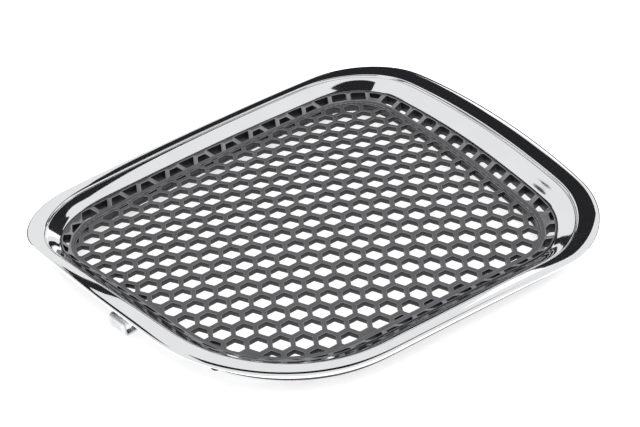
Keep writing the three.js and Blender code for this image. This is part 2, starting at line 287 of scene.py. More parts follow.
def corner_arcs(line):
    corners = [
        meeting_point(line[level], line[upright])
        for level, upright in (("top", "right"), ("top", "left"), ("bottom", "left"), ("bottom", "right"))
    ]
    arcs = []
    for k, corner in enumerate(corners):
        back = unit(corners[k - 1] - corner)
        ahead = unit(corners[(k + 1) % 4] - corner)
        half = math.acos(back @ ahead) / 2
        radius = line["radii"][k]
        centre = corner + unit(back + ahead) * radius / math.sin(half)
        start = corner + back * radius / math.tan(half) - centre
        first = math.atan2(start[1], start[0])
        angles = first + (math.pi - 2 * half) * np.linspace(0, 1, CORNER_STEPS + 1)
        arcs.append(centre + radius * np.column_stack([np.cos(angles), np.sin(angles)]))
    return arcs


def evened(points):
    """The same closed line with the change from straight to round spread out."""
    steps = np.arange(-EVENING_REACH, EVENING_REACH + 1)
    shares = np.exp(-0.5 * (steps / EVENING_SPREAD) ** 2)
    shares /= shares.sum()
    return sum(share * np.roll(points, step, axis=0) for step, share in zip(steps, shares))


def rounded_outline(line):
    """A rounded four-sided outline, counter-clockwise, always with the same number of points."""
    arcs = corner_arcs(line)
    points = []
    for k, arc in enumerate(arcs):
        points.extend(arc)
        ahead = arcs[(k + 1) % 4][0]
        shares = np.arange(1, SIDE_STEPS)[:, None] / SIDE_STEPS
        points.extend(arc[-1] + (ahead - arc[-1]) * shares)
    points = np.array(points)
    x, y = points[:, 0], points[:, 1]
    grown_x = line["swell"][0] * (x / SWELL_REACH[0]) * (1 - (y / SWELL_REACH[1]) ** 2)
    grown_y = line["swell"][1] * (y / SWELL_REACH[1]) * (1 - (x / SWELL_REACH[0]) ** 2)
    return evened(np.column_stack([x + grown_x, y + grown_y]))


FOLD = rounded_outline(FOLD_LINE)
CREASE = rounded_outline(CREASE_LINE)
OUTER = rounded_outline(OUTER_LINE)


def outline(place):
    """The closed line in plan at one place across the rim."""
    if place <= 1:
        return FOLD + (CREASE - FOLD) * place
    return CREASE + (OUTER - CREASE) * (place - 1)


def place_of(points):
    """The place across the rim, up to the crease, of each point in plan."""
    places = []
    for point in points:
        low, high = SEARCH_SPAN
        for _ in range(SEARCH_STEPS):
            middle = (low + high) / 2
            line = outline(middle)[::2]
            side = np.roll(line, -1, axis=0) - line
            reach = point - line
            inside = np.all(side[:, 0] * reach[:, 1] - side[:, 1] * reach[:, 0] >= 0)
            low, high = (low, middle) if inside else (middle, high)
        places.append((low + high) / 2)
    return np.array(places)


def smooth_curve(points, steps):
    """Points on a smooth curve through the given ones, without the last."""
    ends = [points[0], *points, points[-1]]
    curve = []
    for p0, p1, p2, p3 in zip(ends, ends[1:], ends[2:], ends[3:]):
        p0, p1, p2, p3 = map(np.array, (p0, p1, p2, p3))
        for t in np.arange(steps) / steps:
            bend = 2 * p0 - 5 * p1 + 4 * p2 - p3
            twist = 3 * p1 - p0 - 3 * p2 + p3
            curve.append(0.5 * (2 * p1 + (p2 - p0) * t + bend * t**2 + twist * t**3))
    return curve


def rim_frame(near, place, upright=False):
    """The frame of a fastener at the rim's point nearest to one: +Z square to the face or
    upright, +X outwards."""
    line = outline(place)
    k = int(np.argmin(np.linalg.norm(line - np.array(near), axis=1)))
    here = line[k]
    along = unit(line[(k + 1) % len(line)] - line[k - 1])
    up = Vector((0, 0, 1)) if upright else face_normal(*here)
    side = up.cross(Vector((along[1], -along[0], 0))).normalized()
    out = side.cross(up).normalized()
    matrix = Matrix((out, side, up)).transposed().to_4x4()
    matrix.translation = (here[0], here[1], face_height(*here))
    return matrix


def node_middle(node):
    """The middle of a CAD node in plan, in the face's own millimetres."""
    low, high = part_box(node)
    return [(low[axis] + high[axis]) / 2 / MM - FACE_ORIGIN[axis] for axis in (0, 1)]


# ---------------------------------------------------------------- meshes
# Edges sharper than this stay sharp in the shading, in degrees.
SHARP_ANGLE = 38
SCREW_SHARP_ANGLE = 30
MEETING_TOLERANCE = 1e-5
# The furthest that a moved corner runs out, as a share of the distance moved.
SHARPEST_MITRE = 0.5


class Shell:
    """Points and faces of one piece, in the face's own millimetres."""

    def __init__(self):
        self.points = []
        self.faces = []

    def add_points(self, points):
        first = len(self.points)
        self.points.extend(tuple(map(float, point)) for point in points)
        return list(range(first, len(self.points)))

    def add_band(self, ring, following):
        count = len(ring)
        for i in range(count):
            j = (i + 1) % count
            self.faces.append((ring[i], ring[j], following[j], following[i]))

    def add_rings(self, rings, close=False, ends=False):
        """Joins rings of points one after the other."""
        rows = [self.add_points(ring) for ring in rings]
        for row, following in zip(rows, rows[1:]):
            self.add_band(row, following)
        if close:
            self.add_band(rows[-1], rows[0])
        if ends:
            self.faces.append(tuple(rows[0]))
            self.faces.append(tuple(rows[-1]))

    def moved(self, matrix):
        self.points = [tuple(matrix @ Vector(point)) for point in self.points]
        return self

    def join(self, other):
        first = len(self.points)
        self.points.extend(other.points)
        self.faces.extend(tuple(first + v for v in face) for face in other.faces)


def make_piece(name, shell, material, replaced, sharp_angle=SHARP_ANGLE):
    """Puts a shell into the scene as a piece that stands for one CAD node."""
    mesh = bpy.data.meshes.new(name)
    places = (np.array(shell.points) + FACE_ORIGIN) * MM
    mesh.from_pydata(places.tolist(), [], shell.faces)
    tidy = bmesh.new()
    tidy.from_mesh(mesh)
    bmesh.ops.recalc_face_normals(tidy, faces=tidy.faces)
    tidy.to_mesh(mesh)
    tidy.free()
    mesh.shade_smooth()
    mesh.set_sharp_from_angle(angle=math.radians(sharp_angle))
    mesh.materials.append(material)
    piece = bpy.data.objects.new(name, mesh)
    bpy.context.scene.collection.objects.link(piece)
    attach(piece, "root")
    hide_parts(replaced)


def rim_ring(place, height):
    """The closed line in space at one place and height above the face."""
    line = outline(place)
    return np.column_stack([line, face_height(line[:, 0], line[:, 1]) + height])


def offset_loop(loop, distance):
    """A counter-clockwise loop moved outwards."""
    before = unit(loop - np.roll(loop, 1, axis=0))
    after = unit(np.roll(loop, -1, axis=0) - loop)
    turned = unit(before + after)
    outwards = np.column_stack([turned[:, 1], -turned[:, 0]])
    facing = outwards[:, 0] * before[:, 1] - outwards[:, 1] * before[:, 0]
    return loop + outwards * (distance / np.maximum(facing, SHARPEST_MITRE))[:, None]


def flat_triangles(loops, seams, hole_loops):
    """Triangles over the area of the loops, without the holes, as indices into all the points."""
    points, lines, owner = [], [], []
    for number, loop in enumerate([*loops, *seams]):
        first = len(points)
        count = len(loop)
        points.extend(Vector(point) for point in loop)
        owner.extend([number] * count)
        lines.extend((first + i, first + (i + 1) % count) for i in range(count))
    result = delaunay_2d_cdt(points, lines, [], 0, MEETING_TOLERANCE)
    places, faces, sources = result[0], result[2], result[3]
    crossings = [tuple(place) for place, group in zip(places, sources) if not group]
    if crossings:
        raise RuntimeError(f"loops cross near {crossings[:3]}")
    source = [group[0] for group in sources]
    triangles = []
    for face in faces:
        corners = tuple(source[v] for v in face)
        owners = {owner[v] for v in corners}
        if not (len(owners) == 1 and owners.pop() in hole_loops):
            triangles.append(corners)
    return triangles


def pierced_sheet(edge, holes, seams, roundings, front, back):
    """A sheet with holes and rounded edges, its outer edge and its holes each by their own
    amount. front and back turn points in plan and a depth below that face into points in space."""
    outlines = [edge, *holes]
    insides = [-roundings[0]] + [roundings[1]] * len(holes)
    loops = [offset_loop(loop, inside) for loop, inside in zip(outlines, insides)]
    triangles = flat_triangles(loops, seams, set(range(1, len(loops))))
    flat = np.concatenate([*loops, *seams])
    shell = Shell()
    upper = shell.add_points(front(flat, 0))
    lower = shell.add_points(back(flat, 0))
    for a, b, c in triangles:
        shell.faces.append((upper[a], upper[b], upper[c]))
        shell.faces.append((lower[a], lower[c], lower[b]))
    first = 0
    for loop, inside in zip(outlines, insides):
        last = first + len(loop)
        insets = [
            (offset_loop(loop, inside * share), abs(inside) * depth) for share, depth in ROUND_STEPS
        ]
        rings = [upper[first:last]]
        rings += [shell.add_points(front(inset, depth)) for inset, depth in insets]
        rings += [shell.add_points(back(inset, depth)) for inset, depth in reversed(insets)]
        rings.append(lower[first:last])
        for ring, following in zip(rings, rings[1:]):
            shell.add_band(ring, following)
        first = last
    return shell


def turned_shell(profile, sides):
    """A turned piece. Each profile point holds a radius, a height and how deeply it is lobed."""
    angles = np.arange(sides) * 2 * math.pi / sides
    rings = []
    for radius, height, *lobe in profile:
        depth = lobe[0] if lobe else 0
        radii = radius + depth * np.cos(SOCKET_LOBES * angles)
        flat = [radii * np.cos(angles), radii * np.sin(angles)]
        rings.append(np.column_stack([*flat, np.full(sides, height)]))
    shell = Shell()
    shell.add_rings(rings, ends=True)
    return shell


# ---------------------------------------------------------------- honeycomb cells
def hexagon(x, y):
    high = CELL_HALF_HEIGHT
    tip = CELL_HALF_WIDTH
    flat = tip / 2
    corners = ((tip, 0), (flat, high), (-flat, high), (-tip, 0), (-flat, -high), (flat, -high))
    return np.array(corners) + (x, y)


def cut_loop(loop, point, normal):
    """The part of a convex loop behind a straight cut."""
    heights = (loop - point) @ normal
    kept = []
    for i, here in enumerate(loop):
        ahead = (i + 1) % len(loop)
        if heights[i] <= 0:
            kept.append(here)
        if (heights[i] < 0) != (heights[ahead] < 0):
            share = heights[i] / (heights[i] - heights[ahead])
            kept.append(here + (loop[ahead] - here) * share)
    return np.array(kept)


def loop_area(loop):
    x, y = loop[:, 0], loop[:, 1]
    return 0.5 * abs(np.sum(x * np.roll(y, -1) - y * np.roll(x, -1)))


def cut_to_line(loop, line, keep_inside):
    """A cell cut where it crosses an outline: along every side of it, or along the nearest one."""
    side = unit(np.roll(line, -1, axis=0) - line)
    outwards = np.column_stack([side[:, 1], -side[:, 0]])
    if keep_inside:
        reach = (loop[None, :, :] - line[:, None, :]) * outwards[:, None, :]
        for k in np.flatnonzero(reach.sum(axis=2).max(axis=1) > 0):
            loop = cut_loop(loop, line[k], outwards[k])
            if len(loop) < 3:
                return None
        return loop
    k = int(np.argmin(np.linalg.norm(line - loop.mean(axis=0), axis=1)))
    loop = cut_loop(loop, line[k], -outwards[k])
    return loop if len(loop) > 2 else None


def clean_loop(loop):
    """The loop without corners that lie on top of each other."""
    lengths = np.linalg.norm(loop - np.roll(loop, 1, axis=0), axis=1)
    return loop[lengths > SHORTEST_CELL_SIDE]


def round_corners(loop, reach):
    """Each corner becomes a short curve of three points."""
    points = []
    for i, corner in enumerate(loop):
        before, after = loop[i - 1] - corner, loop[(i + 1) % len(loop)] - corner
        back = min(reach, CORNER_SHARE * np.linalg.norm(before))
        ahead = min(reach, CORNER_SHARE * np.linalg.norm(after))
        start, end = corner + unit(before) * back, corner + unit(after) * ahead
        points.extend([start, 0.25 * start + 0.5 * corner + 0.25 * end, end])
    return np.array(points)


def cells_between(outer_line, inner_line, corner_reach):
    """The honeycomb's cells inside one line and outside another, cut to them."""
    cells = []
    for column in CELL_COLUMNS:
        for row in CELL_ROWS:
            centre_y = row * ROW_PITCH + (column % 2) * ROW_PITCH / 2
            loop = cut_to_line(hexagon(column * COLUMN_PITCH, centre_y), outer_line[::4], True)
            if loop is not None and inner_line is not None:
                loop = cut_to_line(loop, inner_line, False)
            if loop is None:
                continue
            loop = clean_loop(loop)
            if len(loop) > 2 and loop_area(loop) > SMALLEST_CELL_AREA:
                cells.append(round_corners(loop, corner_reach))
    return cells


# ---------------------------------------------------------------- materials
NOISE_ROUGHNESS = 0.55
NOISE_SPAN = (0.3, 0.7)
# Share of the plastic's colour by how far a surface faces up or down: painted shade on the walls of
#  holes, painted highlights on their rounded rims, and the colour itself on the faces.
PLASTIC_PAINTED_SHADE_AND_HIGHLIGHT = ((0.0, 0.08), (0.33, 0.15), (0.55, 3.5), (0.88, 3.3), (0.95, 1.0))


def new_material(name, colour, roughness, metallic):
    material = bpy.data.materials.new(name)
    material.use_nodes = True
    shader = material.node_tree.nodes["Principled BSDF"]
    shader.inputs["Base Color"].default_value = (*colour, 1)
    shader.inputs["Roughness"].default_value = roughness
    shader.inputs["Metallic"].default_value = metallic
    return material, shader


def add_noise(material, scale, detail, stretch=(1, 1, 1)):
    nodes, links = material.node_tree.nodes, material.node_tree.links
    where = nodes.new("ShaderNodeTexCoord")
    mapping = nodes.new("ShaderNodeMapping")
    mapping.inputs["Scale"].default_value = stretch
    links.new(where.outputs["Object"], mapping.inputs["Vector"])
    noise = nodes.new("ShaderNodeTexNoise")
    noise.inputs["Scale"].default_value = scale
    noise.inputs["Detail"].default_value = detail
    noise.inputs["Roughness"].default_value = NOISE_ROUGHNESS
    links.new(mapping.outputs["Vector"], noise.inputs["Vector"])
    return noise.outputs["Fac"]


def add_ramp(material, source, stops):
    nodes, links = material.node_tree.nodes, material.node_tree.links
    ramp = nodes.new("ShaderNodeValToRGB")
    elements = ramp.color_ramp.elements
    while len(elements) < len(stops):
        elements.new(1.0)
    for element, (at, colour) in zip(elements, stops):
        element.position = at
        element.color = (*colour, 1)
    links.new(source, ramp.inputs["Fac"])
    return ramp.outputs["Color"]


def add_painted_shade_and_highlight_mask(material):
    """How far a surface faces straight up or down, the mask for the painted shade and painted highlights: 1
    on faces, 0 on the walls of holes.
    """
    nodes, links = material.node_tree.nodes, material.node_tree.links
    where = nodes.new("ShaderNodeTexCoord")
    parts = nodes.new("ShaderNodeSeparateXYZ")
    links.new(where.outputs["Normal"], parts.inputs["Vector"])
    size = nodes.new("ShaderNodeMath")
    size.operation = "ABSOLUTE"
    links.new(parts.outputs["Z"], size.inputs[0])
    return size.outputs["Value"]


def add_range(material, source, low, high):
    """Spreads the middle part of a noise between two values."""
    nodes, links = material.node_tree.nodes, material.node_tree.links
    ranged = nodes.new("ShaderNodeMapRange")
    ranged.inputs["From Min"].default_value, ranged.inputs["From Max"].default_value = NOISE_SPAN
    ranged.inputs["To Min"].default_value = low
    ranged.inputs["To Max"].default_value = high
    links.new(source, ranged.inputs["Value"])
    return ranged.outputs["Result"]


def add_bump(material, shader, source, distance, strength=1.0, under=None):
    nodes, links = material.node_tree.nodes, material.node_tree.links
    bump = nodes.new("ShaderNodeBump")
    bump.inputs["Distance"].default_value = distance
    bump.inputs["Strength"].default_value = strength
    links.new(source, bump.inputs["Height"])
    if under is not None:
        links.new(under, bump.inputs["Normal"])
    links.new(bump.outputs["Normal"], shader.inputs["Normal"])
    return bump.outputs["Normal"]


def shade(colour, factor):
    return tuple(min(1.0, channel * factor) for channel in colour)


def chrome_plating(colour):
    """Bright plating over moulded plastic: faint waves, a soft haze and a very fine grain."""
    material, shader = new_material("chrome_plating", colour, 0.04, 1.0)
    links = material.node_tree.links
    haze = add_noise(material, 38, 5)
    links.new(add_range(material, haze, 0.025, 0.07), shader.inputs["Roughness"])
    tint = add_ramp(material, haze, ((0.3, shade(colour, 0.97)), (0.75, shade(colour, 1.02))))
    links.new(tint, shader.inputs["Base Color"])
    waves = add_bump(material, shader, add_noise(material, 22, 1), 0.00012, 0.35)
    add_bump(material, shader, add_noise(material, 900, 2), 0.000004, 0.3, under=waves)
    return material


def moulded_plastic(colour):
    """Dark moulded plastic with a fine grain, a slight sheen and uneven tone, with painted shade on the walls
    of holes and painted highlights on their rounded rims.
    """
    material, shader = new_material("moulded_plastic", colour, 0.42, 0.0)
    links = material.node_tree.links
    shader.inputs["Specular IOR Level"].default_value = 0.62
    cloud = add_noise(material, 55, 4)
    tone = add_range(material, cloud, 0.86, 1.16)
    # painted shade on the walls of holes and painted highlights on their rounded rims, by how far each
    # surface faces up
    stops = [(facing, shade(colour, factor)) for facing, factor in PLASTIC_PAINTED_SHADE_AND_HIGHLIGHT]
    tint = add_ramp(material, add_painted_shade_and_highlight_mask(material), stops)
    painted_shade_with_tone = material.node_tree.nodes.new("ShaderNodeVectorMath")
    painted_shade_with_tone.operation = "SCALE"
    links.new(tint, painted_shade_with_tone.inputs[0])
    links.new(tone, painted_shade_with_tone.inputs["Scale"])
    links.new(painted_shade_with_tone.outputs["Vector"], shader.inputs["Base Color"])
    links.new(add_range(material, add_noise(material, 420, 3), 0.34, 0.5), shader.inputs["Roughness"])
    grain = add_bump(material, shader, add_noise(material, 2400, 3), 0.00004, 0.45)
    add_bump(material, shader, cloud, 0.0002, 0.2, under=grain)
    return material


def zinc_plate(colour):
    """Zinc-plated pressed steel with rolling marks and a mottled bloom."""
    material, shader = new_material("zinc_plate", colour, 0.3, 0.9)
    links = material.node_tree.links
    bloom = add_noise(material, 160, 6)
    tint = add_ramp(material, bloom, ((0.3, shade(colour, 0.8)), (0.7, shade(colour, 1.12))))
    links.new(tint, shader.inputs["Base Color"])
    marks = add_noise(material, 500, 3, stretch=(1, 14, 1))
    links.new(add_range(material, marks, 0.22, 0.42), shader.inputs["Roughness"])
    add_bump(material, shader, marks, 0.00003, 0.4)
    return material


def coated_screw(colour):
    """Black coated steel, worn a little lighter in spots."""
    material, shader = new_material("coated_screw", colour, 0.38, 0.6)
    links = material.node_tree.links
    worn = add_noise(material, 900, 5)
    tint = add_ramp(material, worn, ((0.45, colour), (0.8, shade(colour, 5))))
    links.new(tint, shader.inputs["Base Color"])
    links.new(add_range(material, worn, 0.3, 0.5), shader.inputs["Roughness"])
    add_bump(material, shader, worn, 0.00003, 0.4)
    return material


def seal_foam(colour):
    """Closed-cell foam with open pores along its cut faces, with painted shade darkening the pores' hollows.
    """
    material, shader = new_material("seal_foam", colour, 0.95, 0.0)
    nodes, links = material.node_tree.nodes, material.node_tree.links
    where = nodes.new("ShaderNodeTexCoord")
    pores = nodes.new("ShaderNodeTexVoronoi")
    pores.inputs["Scale"].default_value = 1500
    links.new(where.outputs["Object"], pores.inputs["Vector"])
    # painted shade: darkest in the hollows of the pores, where the bump dips, and lighter between them
    stops = ((0.1, shade(colour, 0.4)), (0.6, shade(colour, 2.2)))
    tint = add_ramp(material, pores.outputs["Distance"], stops)
    links.new(tint, shader.inputs["Base Color"])
    add_bump(material, shader, pores.outputs["Distance"], 0.0003, 0.7)
    return material


# ---------------------------------------------------------------- surround
def surround_skin():
    """The surround without its bosses: its section swept round the three outlines."""
    section = [
        point for stretch in SURROUND_STRETCHES for point in smooth_curve(stretch, CURVE_STEPS)
    ]
    shell = Shell()
    shell.add_rings([rim_ring(place, height) for place, height in section], close=True)
    return shell


def middle_of_skin():
    """The surface half-way through the surround's skin, where bosses end."""
    rings = [rim_ring(place, height) for place, height in MIDDLE_OF_SKIN]
    shell = Shell()
    shell.add_rings(rings)
    return BVHTree.FromPolygons([Vector(point) for point in shell.points], shell.faces)


def up_to_skin(matrix, ring, skin):
    """A boss's rim carried up its own axis to the middle of the skin, short of the lip."""
    up = matrix.to_3x3() @ Vector((0, 0, 1))
    limit = rim_ring(*BOSS_LIMIT)
    carried = []
    for point in ring:
        hit = skin.ray_cast(matrix @ Vector(point), up)[0]
        if hit is None:
            raise RuntimeError("a boss misses the surround's skin")
        nearest = Vector(limit[int(np.argmin(np.linalg.norm(limit[:, :2] - hit[:2], axis=1)))])
        outside = hit.xy.length > nearest.xy.length
        carried.append(nearest if outside else hit)
    return carried


def circle(radius, height, sides=28):
    angles = np.arange(sides) * 2 * math.pi / sides
    return [(radius * math.cos(a), radius * math.sin(a), height) for a in angles]


def boss_shell(matrix, skin, radius, foot, pilot_end=None):
    """A round boss from its foot up into the skin, with a pilot hole if it takes a screw."""
    def moved(ring):
        return [matrix @ Vector(point) for point in ring]

    top = up_to_skin(matrix, circle(radius, foot), skin)
    profile = [(radius - inset, foot + height) for inset, height in BOSS_EDGE]
    if pilot_end is not None:
        profile.append((PILOT_RADIUS + PILOT_CHAMFER, foot))
        profile.append((PILOT_RADIUS, foot + PILOT_CHAMFER))
        profile.append((PILOT_RADIUS, pilot_end))
    rings = [top, *(moved(circle(*step)) for step in profile)]
    shell = Shell()
    shell.add_rings([np.array([tuple(point) for point in ring]) for ring in rings], ends=True)
    return shell


def insert_frame(number):
    return rim_frame(node_middle(f"insert_screw_{number}"), INSERT_BOSS_PLACE)


def bracket_frame(side):
    return rim_frame(node_middle(f"bracket_screw_{side}"), BRACKET_PLACE)


class GRILLE_OT_surround(bpy.types.Operator):
    """Builds the chrome surround with its screw bosses and locating pins"""

    bl_idname = "grille.surround"
    bl_label = "Surround"

    def execute(self, context):
        shell = surround_skin()
        skin = middle_of_skin()
        for number in range(1, INSERT_SCREWS + 1):
            place = insert_frame(number)
            shell.join(boss_shell(place, skin, BOSS_RADIUS, INSERT_BOSS_FOOT, PILOT_END))
        for side in BRACKET_SIDES:
            place = bracket_frame(side)
            shell.join(boss_shell(place, skin, BOSS_RADIUS, BRACKET_BOSS_FOOT, BRACKET_PILOT_END))
        for near in PINS:
            pin = rim_frame(near, PIN_PLACE, upright=True)
            shell.join(boss_shell(pin, skin, PIN_RADIUS, PIN_FOOT))
        chrome = chrome_plating(context.scene.grille_colours.chrome)
        make_piece("surround_plated", shell, chrome, "chrome_surround")
        return {"FINISHED"}


# ---------------------------------------------------------------- insert
def insert_plastic(context):
    """The plastic that the panel and the carrier share."""
    made = bpy.data.materials.get("moulded_plastic")
    return made or moulded_plastic(context.scene.grille_colours.plastic)


class GRILLE_OT_panel(bpy.types.Operator):
    """Builds the honeycomb panel"""

    bl_idname = "grille.panel"
    bl_label = "Honeycomb panel"

    def execute(self, context):
        sizes = context.scene.grille_sizes
        edge = outline(PANEL_EDGE)
        cells = cells_between(offset_loop(edge, -PANEL_RIM), None, sizes.cell_corner / MM)

        def front(points, depth):
            return np.column_stack([points, face_height(points[:, 0], points[:, 1]) - depth])

        def back(points, depth):
            low = face_height(points[:, 0], points[:, 1]) - FACE_THICKNESS
            return np.column_stack([points, low + depth])

        rounding = sizes.cell_rounding / MM
        shell = pierced_sheet(edge, cells, [], (PANEL_EDGE_ROUNDING, rounding), front, back)
        plastic = insert_plastic(context)
        make_piece("panel_honeycomb", shell, plastic, "honeycomb_panel")
        return {"FINISHED"}


class GRILLE_OT_carrier(bpy.types.Operator):
    """Builds the carrier: the sloping wall with its windows, the ledge and the screw flange"""

    bl_idname = "grille.carrier"
    bl_label = "Panel carrier"

    def execute(self, context):
        sizes = context.scene.grille_sizes
        foot, head = (outline(place) for place in WALL_CELLS)
        foot, head = offset_loop(foot, WALL_RIM), offset_loop(head, -WALL_RIM)
        holes = cells_between(head, foot, sizes.cell_corner / MM)
        for number in range(1, INSERT_SCREWS + 1):
            centre = insert_frame(number).translation
            holes.append(np.array(circle(PILOT_RADIUS, 0))[:, :2] + (centre.x, centre.y))
        inner, outer = CARRIER_EDGES
        holes.append(outline(inner))
        seams = [outline(place) for place, _ in CARRIER_TOP[1:-1]]
        top = np.array(CARRIER_TOP).T
        bottom = np.array(CARRIER_BOTTOM).T

        def front(points, depth):
            level = np.interp(place_of(points), top[0], top[1])
            return np.column_stack([points, face_height(points[:, 0], points[:, 1]) + level - depth])

        def back(points, depth):
            level = np.interp(place_of(points), bottom[0], bottom[1])
            return np.column_stack([points, face_height(points[:, 0], points[:, 1]) + level + depth])

        rounding = WALL_ROUNDING_SHARE * sizes.cell_rounding / MM
        shell = pierced_sheet(outline(outer), holes, seams, (rounding, rounding), front, back)
        plastic = insert_plastic(context)
        make_piece("carrier_moulded", shell, plastic, "panel_carrier")
        return {"FINISHED"}


# ---------------------------------------------------------------- screws
def screw_shell(head_top):
    """A pan-head screw, head down, with a six-lobed socket and a turned thread."""
    low = head_top - HEAD_HEIGHT
    end = head_top + SCREW_LENGTH
    profile = [
        (0.05, low + SOCKET_DEPTH), (1.15, low + SOCKET_DEPTH, 0.16), (1.2, low + 0.15, 0.16),
        (1.45, low, 0.05),
        (2.4, low), (3.05, low + 0.2), (3.45, low + 0.75), (HEAD_RADIUS, low + 1.3),
        (HEAD_RADIUS, head_top - 0.15), (HEAD_RADIUS - 0.15, head_top), (1.4, head_top),
    ]
    height = head_top + 0.5
    while height < end - 2:
        profile += [
            (THREAD_CORE, height), (THREAD_CREST, height + 0.35), (THREAD_CREST, height + 0.5),
        ]
        height += THREAD_PITCH
    profile += [(1.15, end - 1.4), (0.3, end - 0.1), (0.05, end)]
    return turned_shell(profile, SCREW_SIDES)


class GRILLE_OT_screws(bpy.types.Operator):
    """Builds every screw: nine for the insert and one for each bracket"""

    bl_idname = "grille.screws"
    bl_label = "Screws"

    def execute(self, context):
        coating = coated_screw(context.scene.grille_colours.screw)
        for number in range(1, INSERT_SCREWS + 1):
            shell = screw_shell(INSERT_HEAD_TOP).moved(insert_frame(number))
            node = f"insert_screw_{number}"
            make_piece(f"screw_insert_{number}", shell, coating, node, SCREW_SHARP_ANGLE)
        head_top = BRACKET_TOP - BRACKET_THICKNESS - GAP
        for side in BRACKET_SIDES:
            shell = screw_shell(head_top).moved(bracket_frame(side))
            node = f"bracket_screw_{side}"
            make_piece(f"screw_bracket_{side}", shell, coating, node, SCREW_SHARP_ANGLE)
        return {"FINISHED"}


# ---------------------------------------------------------------- brackets and clips
class BentStrip:
    """A strip bent along a path in its own x and z, with rounded bends."""

    STEPS = 6
    SEAM_PLACES = np.linspace(-0.9, 0.9, 7)

    def __init__(self, corners, radius, width, thickness):
        self.width = width
        self.thickness = thickness
        points = [np.array(corners[0], float)]
        for k in range(1, len(corners) - 1):
            here = np.array(corners[k], float)
            back, ahead = unit(np.array(corners[k - 1]) - here), unit(np.array(corners[k + 1]) - here)
            start, end = here + back * radius, here + ahead * radius
            centre = start + ahead * radius
            for step in range(self.STEPS + 1):
                turn = step / self.STEPS * math.pi / 2
                points.append(centre - ahead * radius * math.cos(turn) - back * radius * math.sin(turn))
        points.append(np.array(corners[-1], float))
        self.points = np.array(points)
        steps = np.linalg.norm(np.diff(self.points, axis=0), axis=1)
        self.at = np.concatenate([[0], np.cumsum(steps)])
        along = unit(np.gradient(self.points, self.at, axis=0))
        self.square = np.column_stack([-along[:, 1], along[:, 0]])

    def outline(self, corner):
        """The flat strip's outline, with a point at every step of the bends."""
        half = self.width / 2
        ends = self.at[-1]
        lower = [(u, -half) for u in self.at[1:-1]]
        upper = [(u, half) for u in self.at[-2:0:-1]]

        def arc(x, y, first):
            turns = first + np.linspace(0, math.pi / 2, 6)
            return [(x + corner * math.cos(t), y + corner * math.sin(t)) for t in turns]

        points = arc(corner, corner - half, math.pi) + lower + arc(ends - corner, corner - half, -math.pi / 2)
        points += arc(ends - corner, half - corner, 0) + upper + arc(corner, half - corner, math.pi / 2)
        return np.array(points)

    def place(self, points, lift):
        """Points of the flat strip on the bent one, lifted off its middle."""
        u = points[:, 0]
        x = np.interp(u, self.at, self.points[:, 0]) + lift * np.interp(u, self.at, self.square[:, 0])
        z = np.interp(u, self.at, self.points[:, 1]) + lift * np.interp(u, self.at, self.square[:, 1])
        return np.column_stack([x, points[:, 1], z])

    def along_at(self, x, after=0.0):
        """The length along the path where it passes x, past a given length."""
        for k in range(len(self.at) - 1):
            x0, x1 = self.points[k, 0], self.points[k + 1, 0]
            if self.at[k] >= after and min(x0, x1) <= x <= max(x0, x1) and x0 != x1:
                return self.at[k] + (x - x0) / (x1 - x0) * (self.at[k + 1] - self.at[k])
        raise RuntimeError("the strip doesn't pass that place")

    def shell(self, holes, corner, rounding):
        """The bent strip with its holes, each a length along the strip and a radius."""
        half = self.thickness / 2
        rims = [np.array(circle(radius, 0))[:, :2] + (u, 0) for u, radius in holes]
        seams = []
        for u in self.at[1:-1]:
            if all(abs(u - hole) > radius + 2 * rounding for hole, radius in holes):
                across = self.SEAM_PLACES * self.width / 2
                seams.append(np.column_stack([np.full(len(across), u), across]))

        def front(points, depth):
            return self.place(points, half - depth)

        def back(points, depth):
            return self.place(points, depth - half)

        return pierced_sheet(self.outline(corner), rims, seams, (rounding, rounding), front, back)


def bracket_shell(rounding):
    """A bracket bent into a C: its top under the boss, its foot on the car's body. The foot has
    a hole to reach the bracket's own screw through, and one for the body's screw."""
    middle = BRACKET_THICKNESS / 2
    high, low = BRACKET_TOP - middle, BRACKET_TOP - BRACKET_DROP + middle
    outer = BRACKET_OUTER - middle
    path = ((-BOSS_RADIUS - 0.2, high), (outer, high), (outer, low), (BRACKET_INNER, low))
    strip = BentStrip(path, BRACKET_BEND, BRACKET_WIDTH, BRACKET_THICKNESS)
    screw = strip.along_at(0)
    past_bend = screw + 8
    holes = [
        (screw, BRACKET_SCREW_HOLE),
        (strip.along_at(0, past_bend), DRIVER_HOLE),
        (strip.along_at(BODY_HOLE_X, past_bend), BODY_HOLE),
    ]
    return strip.shell(holes, BRACKET_CORNER, rounding)


def clip_shell(rounding):
    """A spring nut: two leaves joined at the back and a short threaded collar."""
    foot_low = BRACKET_TOP - BRACKET_DROP
    middle = CLIP_THICKNESS / 2
    high = foot_low + BRACKET_THICKNESS + GAP + middle
    low = foot_low - GAP - middle
    back = BRACKET_INNER - GAP - middle
    path = ((CLIP_ENDS[0], high), (back, high), (back, low), (CLIP_ENDS[1], low))
    strip = BentStrip(path, CLIP_BEND, CLIP_WIDTH, CLIP_THICKNESS)
    upper = strip.along_at(BODY_HOLE_X)
    past_bend = upper + 4
    holes = [(upper, CLIP_HOLE), (strip.along_at(BODY_HOLE_X, past_bend), CLIP_HOLE)]
    shell = strip.shell(holes, CLIP_CORNER, min(rounding, CLIP_ROUNDING))
    base = high + middle - 0.1
    collar = [(radius, base + height) for radius, height in COLLAR]
    thread = [
        (CLIP_HOLE + COLLAR_THREAD_DEPTH * (step % 2), base + 1.9 - COLLAR_THREAD_STEP * step)
        for step in range(COLLAR_THREAD_STEPS)
    ]
    ring = turned_rings([*collar, *thread])
    ring.points = [(x + BODY_HOLE_X, y, z) for x, y, z in ring.points]
    shell.join(ring)
    return shell


def turned_rings(profile, sides=36):
    """A turned ring whose profile closes on itself."""
    shell = Shell()
    rings = [np.array(circle(radius, height, sides)) for radius, height in profile]
    shell.add_rings(rings, close=True)
    return shell


